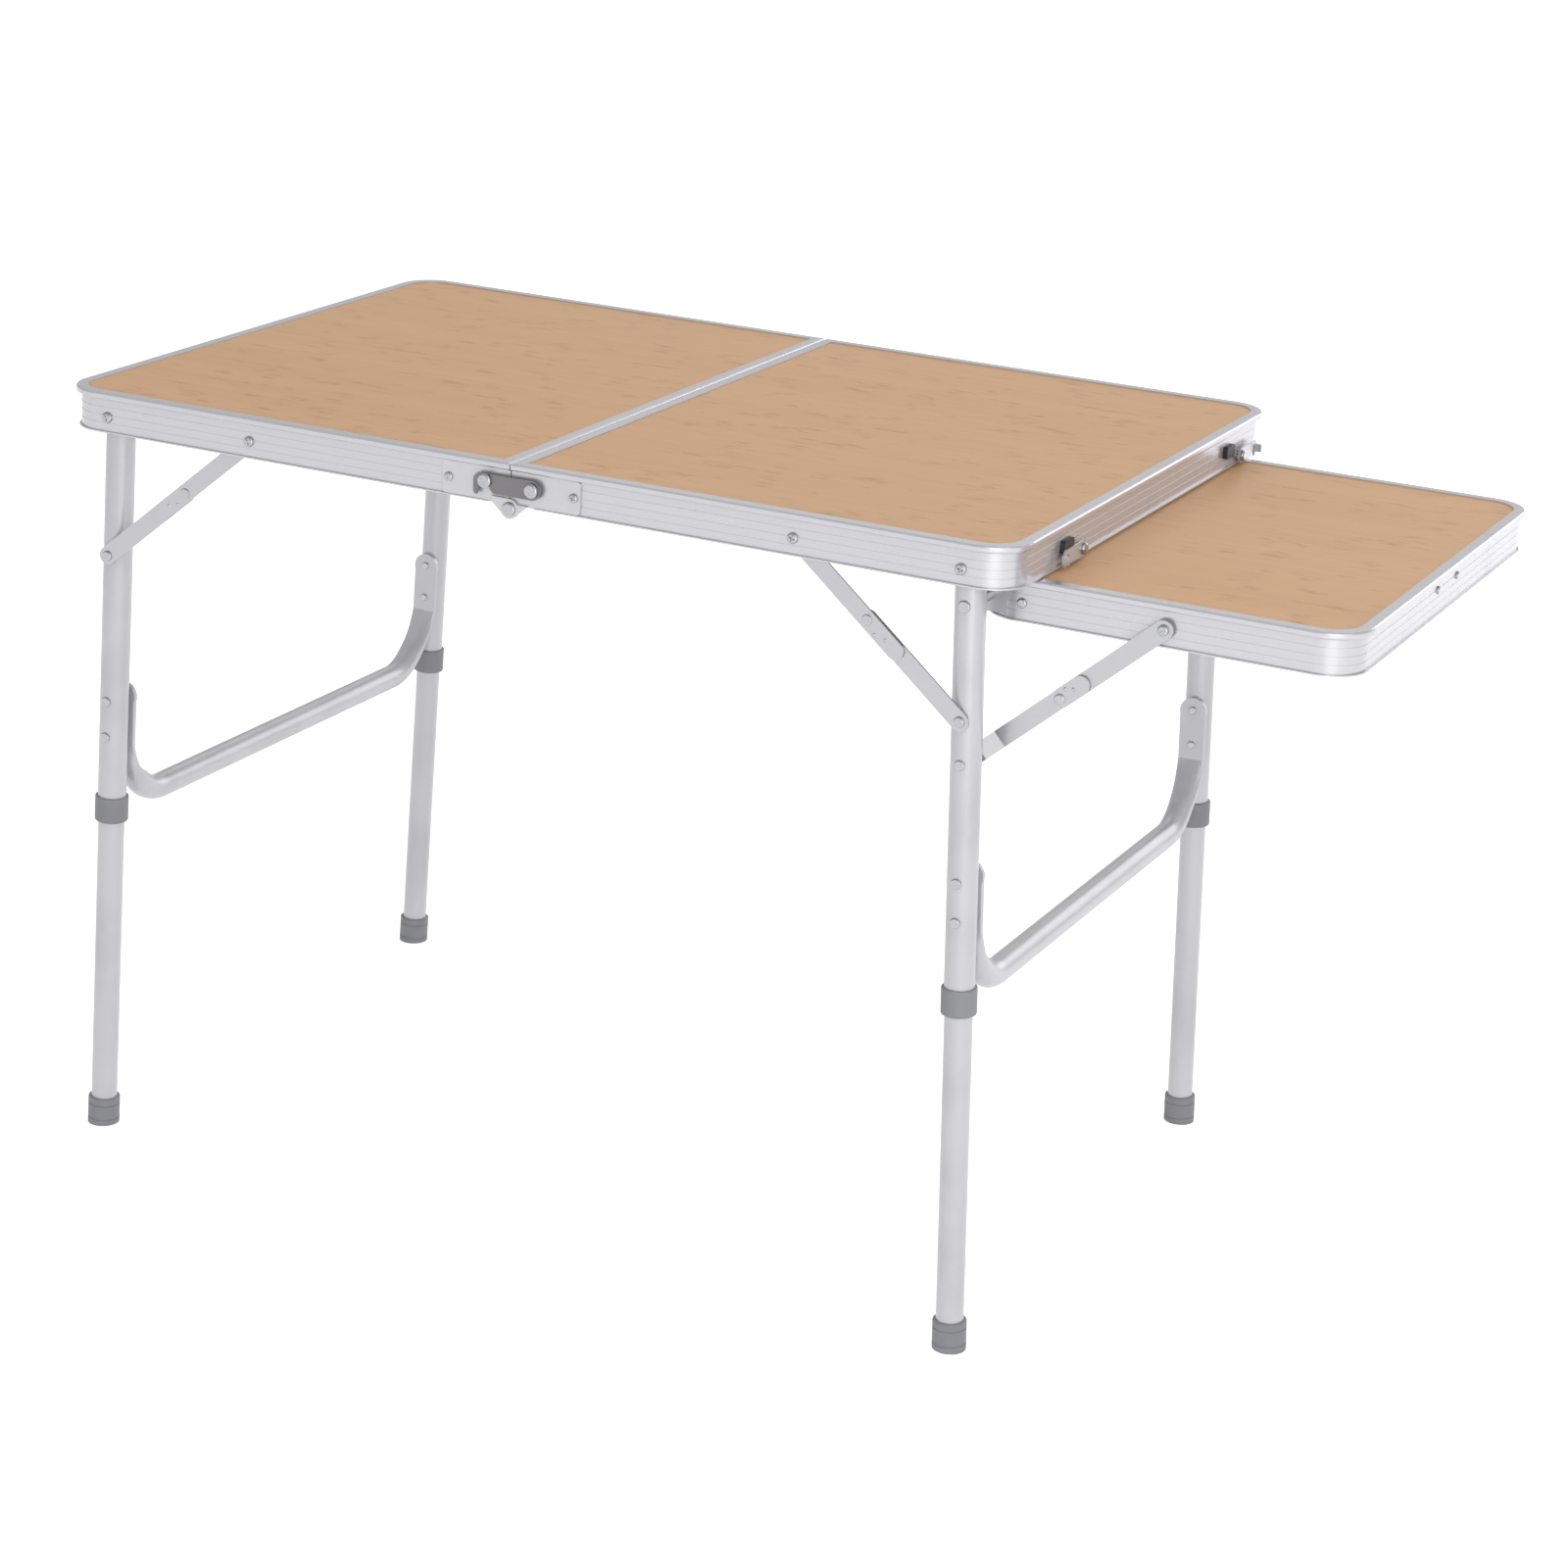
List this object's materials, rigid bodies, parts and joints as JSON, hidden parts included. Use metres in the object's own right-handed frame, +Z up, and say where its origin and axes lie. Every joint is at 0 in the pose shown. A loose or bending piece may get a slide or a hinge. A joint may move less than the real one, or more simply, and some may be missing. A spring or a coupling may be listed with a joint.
{
  "type": "folding side table",
  "caption": "Folding camping table with aluminium edge rails, wood-print top hinged in the middle, plug-in legs, folding braces and a lower side leaf on its own braces.",
  "frame": {"origin": "Middle of the whole object in plan, on the floor.", "axes": "+Z up, +X along the table from the handle end towards the side leaf, +Y from the pictured long side to the far long side."},
  "size_m": [1.171, 0.6106, 0.7],
  "materials": {
    "board_print": "printed bamboo laminate, satin",
    "grey_plastic": "moulded, matte",
    "dark_steel": "dark plated",
    "bright_plate": "bright zinc plated",
    "rail_aluminium": "satin anodised, fine grain along the rail",
    "grey_tube": "satin light grey",
    "strap_steel": "bright plated strap",
    "black_plastic": "moulded, black",
    "chrome_fasteners": "bright plated"
  },
  "bodies": {
    "left_panel": {"left_board": "board_print", "left_frame_rail": "rail_aluminium", "left_centre_rail": "rail_aluminium", "left_hinge_plates": "bright_plate", "left_studs": "chrome_fasteners", "left_screws": "chrome_fasteners", "handle_brackets": "black_plastic"},
    "right_panel": {"right_board": "board_print", "right_frame_rail": "rail_aluminium", "right_centre_rail": "rail_aluminium", "right_hinge_plates": "bright_plate", "right_studs": "chrome_fasteners", "right_screws": "chrome_fasteners", "catch_plates": "bright_plate", "catch_studs": "chrome_fasteners", "catch_bumpers": "black_plastic"},
    "front_lock_bar": {"front_lock_bar": "dark_steel"},
    "back_lock_bar": {"back_lock_bar": "dark_steel"},
    "left_legs": {"left_front_upper_leg": "grey_tube", "left_back_upper_leg": "grey_tube", "left_crossbar": "grey_tube", "left_leg_collars": "grey_plastic", "left_leg_rivets": "chrome_fasteners"},
    "left_front_lower": {"left_front_lower_leg": "grey_tube", "left_front_foot": "grey_plastic"},
    "left_front_upper_brace": {"left_front_brace_upper_link": "strap_steel", "left_front_brace_rivet": "chrome_fasteners"},
    "left_front_lower_brace": {"left_front_brace_lower_link": "strap_steel"},
    "left_back_lower": {"left_back_lower_leg": "grey_tube", "left_back_foot": "grey_plastic"},
    "left_back_upper_brace": {"left_back_brace_upper_link": "strap_steel", "left_back_brace_rivet": "chrome_fasteners"},
    "left_back_lower_brace": {"left_back_brace_lower_link": "strap_steel"},
    "right_legs": {"right_front_upper_leg": "grey_tube", "right_back_upper_leg": "grey_tube", "right_crossbar": "grey_tube", "right_leg_collars": "grey_plastic", "right_leg_rivets": "chrome_fasteners", "leaf_leg_bolts": "chrome_fasteners"},
    "right_front_lower": {"right_front_lower_leg": "grey_tube", "right_front_foot": "grey_plastic"},
    "right_front_upper_brace": {"right_front_brace_upper_link": "strap_steel", "right_front_brace_rivet": "chrome_fasteners"},
    "right_front_lower_brace": {"right_front_brace_lower_link": "strap_steel"},
    "right_back_lower": {"right_back_lower_leg": "grey_tube", "right_back_foot": "grey_plastic"},
    "right_back_upper_brace": {"right_back_brace_upper_link": "strap_steel", "right_back_brace_rivet": "chrome_fasteners"},
    "right_back_lower_brace": {"right_back_brace_lower_link": "strap_steel"},
    "leaf": {"leaf_board": "board_print", "leaf_frame_rail": "rail_aluminium", "leaf_hinge_plates": "bright_plate", "leaf_screws": "chrome_fasteners"},
    "leaf_front_lower_brace": {"leaf_front_brace_lower_link": "strap_steel"},
    "leaf_front_upper_brace": {"leaf_front_brace_upper_link": "strap_steel"},
    "leaf_back_lower_brace": {"leaf_back_brace_lower_link": "strap_steel"},
    "leaf_back_upper_brace": {"leaf_back_brace_upper_link": "strap_steel"},
    "front_end_catch": {"front_end_catch": "bright_plate"},
    "back_end_catch": {"back_end_catch": "bright_plate"},
    "carry_handle": {"carry_handle": "black_plastic"}
  },
  "joints": [
    {"name": "centre_fold", "type": "hinge", "parent": "left_panel", "child": "right_panel", "pos_m": [-0.1275, 0, 0.6616], "axis": [0, -1, 0], "range_deg": [-42, 0]},
    {"name": "front_lock_swing", "type": "hinge", "parent": "right_panel", "child": "front_lock_bar", "pos_m": [-0.1055, -0.3013, 0.681], "axis": [0, -1, 0], "range_deg": [-84, 0]},
    {"name": "back_lock_swing", "type": "hinge", "parent": "right_panel", "child": "back_lock_bar", "pos_m": [-0.1055, 0.3013, 0.681], "axis": [0, -1, 0], "range_deg": [-84, 0]},
    {"name": "left_leg_fold", "type": "hinge", "parent": "left_panel", "child": "left_legs", "pos_m": [-0.5304, 0, 0.6775], "axis": [0, 1, 0], "range_deg": [-70, 0]},
    {"name": "left_front_plug", "type": "slide", "parent": "left_legs", "child": "left_front_lower", "axis": [-0.04, 0, -0.9992], "range_m": [0, 0.06]},
    {"name": "left_front_upper_brace_turn", "type": "hinge", "parent": "left_panel", "child": "left_front_upper_brace", "pos_m": [-0.3845, -0.292, 0.6785], "axis": [0, 1, 0], "range_deg": [-114.13, 0]},
    {"name": "left_front_lower_brace_turn", "type": "hinge", "parent": "left_legs", "child": "left_front_lower_brace", "pos_m": [-0.53544, -0.292, 0.5516], "axis": [0, 1, 0], "range_deg": [0, 104.58]},
    {"name": "left_back_plug", "type": "slide", "parent": "left_legs", "child": "left_back_lower", "axis": [-0.04, 0, -0.9992], "range_m": [0, 0.06]},
    {"name": "left_back_upper_brace_turn", "type": "hinge", "parent": "left_panel", "child": "left_back_upper_brace", "pos_m": [-0.3845, 0.292, 0.6785], "axis": [0, 1, 0], "range_deg": [-114.13, 0]},
    {"name": "left_back_lower_brace_turn", "type": "hinge", "parent": "left_legs", "child": "left_back_lower_brace", "pos_m": [-0.53544, 0.292, 0.5516], "axis": [0, 1, 0], "range_deg": [0, 104.58]},
    {"name": "right_leg_fold", "type": "hinge", "parent": "right_panel", "child": "right_legs", "pos_m": [0.2754, 0, 0.6775], "axis": [0, 1, 0], "range_deg": [0, 86]},
    {"name": "right_front_plug", "type": "slide", "parent": "right_legs", "child": "right_front_lower", "axis": [0.04, 0, -0.9992], "range_m": [0, 0.06]},
    {"name": "right_front_upper_brace_turn", "type": "hinge", "parent": "right_panel", "child": "right_front_upper_brace", "pos_m": [0.1295, -0.292, 0.6785], "axis": [0, 1, 0], "range_deg": [0, 136.97]},
    {"name": "right_front_lower_brace_turn", "type": "hinge", "parent": "right_legs", "child": "right_front_lower_brace", "pos_m": [0.28044, -0.292, 0.5516], "axis": [0, 1, 0], "range_deg": [-120.68, 0]},
    {"name": "right_back_plug", "type": "slide", "parent": "right_legs", "child": "right_back_lower", "axis": [0.04, 0, -0.9992], "range_m": [0, 0.06]},
    {"name": "right_back_upper_brace_turn", "type": "hinge", "parent": "right_panel", "child": "right_back_upper_brace", "pos_m": [0.1295, 0.292, 0.6785], "axis": [0, 1, 0], "range_deg": [0, 136.97]},
    {"name": "right_back_lower_brace_turn", "type": "hinge", "parent": "right_legs", "child": "right_back_lower_brace", "pos_m": [0.28044, 0.292, 0.5516], "axis": [0, 1, 0], "range_deg": [-120.68, 0]},
    {"name": "leaf_fold", "type": "hinge", "parent": "right_legs", "child": "leaf", "pos_m": [0.2767, 0, 0.645], "axis": [0, 1, 0], "range_deg": [0, 81]},
    {"name": "leaf_front_lower_brace_turn", "type": "hinge", "parent": "right_legs", "child": "leaf_front_lower_brace", "pos_m": [0.28192, -0.246, 0.5146], "axis": [0, 1, 0], "range_deg": [-50.34, 0]},
    {"name": "leaf_front_upper_brace_turn", "type": "hinge", "parent": "leaf", "child": "leaf_front_upper_brace", "pos_m": [0.4275, -0.246, 0.642], "axis": [0, 1, 0], "range_deg": [0, 40.67]},
    {"name": "leaf_back_lower_brace_turn", "type": "hinge", "parent": "right_legs", "child": "leaf_back_lower_brace", "pos_m": [0.28192, 0.246, 0.5146], "axis": [0, 1, 0], "range_deg": [-50.34, 0]},
    {"name": "leaf_back_upper_brace_turn", "type": "hinge", "parent": "leaf", "child": "leaf_back_upper_brace", "pos_m": [0.4275, 0.246, 0.642], "axis": [0, 1, 0], "range_deg": [0, 40.67]},
    {"name": "front_catch_swing", "type": "hinge", "parent": "right_panel", "child": "front_end_catch", "pos_m": [0.3238, -0.162, 0.672], "axis": [-1, 0, 0], "range_deg": [0, 90]},
    {"name": "back_catch_swing", "type": "hinge", "parent": "right_panel", "child": "back_end_catch", "pos_m": [0.3238, 0.216, 0.672], "axis": [1, 0, 0], "range_deg": [0, 90]},
    {"name": "handle_swing", "type": "hinge", "parent": "left_panel", "child": "carry_handle", "pos_m": [-0.5795, 0, 0.686], "axis": [0, 1, 0], "range_deg": [0, 90]}
  ],
  "couplings": [
    {"joint": "front_lock_swing", "follows": "centre_fold", "ratio": 2},
    {"joint": "back_lock_swing", "follows": "centre_fold", "ratio": 2},
    {"joint": "left_front_upper_brace_turn", "follows": "left_leg_fold", "ratio": 1.6303},
    {"joint": "left_front_lower_brace_turn", "follows": "left_leg_fold", "ratio": -1.4938},
    {"joint": "left_back_upper_brace_turn", "follows": "left_leg_fold", "ratio": 1.6303},
    {"joint": "left_back_lower_brace_turn", "follows": "left_leg_fold", "ratio": -1.4938},
    {"joint": "right_front_upper_brace_turn", "follows": "right_leg_fold", "ratio": 1.5926},
    {"joint": "right_front_lower_brace_turn", "follows": "right_leg_fold", "ratio": -1.4031},
    {"joint": "right_back_upper_brace_turn", "follows": "right_leg_fold", "ratio": 1.5926},
    {"joint": "right_back_lower_brace_turn", "follows": "right_leg_fold", "ratio": -1.4031},
    {"joint": "leaf_front_lower_brace_turn", "follows": "leaf_fold", "ratio": -0.6213},
    {"joint": "leaf_front_upper_brace_turn", "follows": "leaf_fold", "ratio": 0.502},
    {"joint": "leaf_back_lower_brace_turn", "follows": "leaf_fold", "ratio": -0.6213},
    {"joint": "leaf_back_upper_brace_turn", "follows": "leaf_fold", "ratio": 0.502}
  ]
}
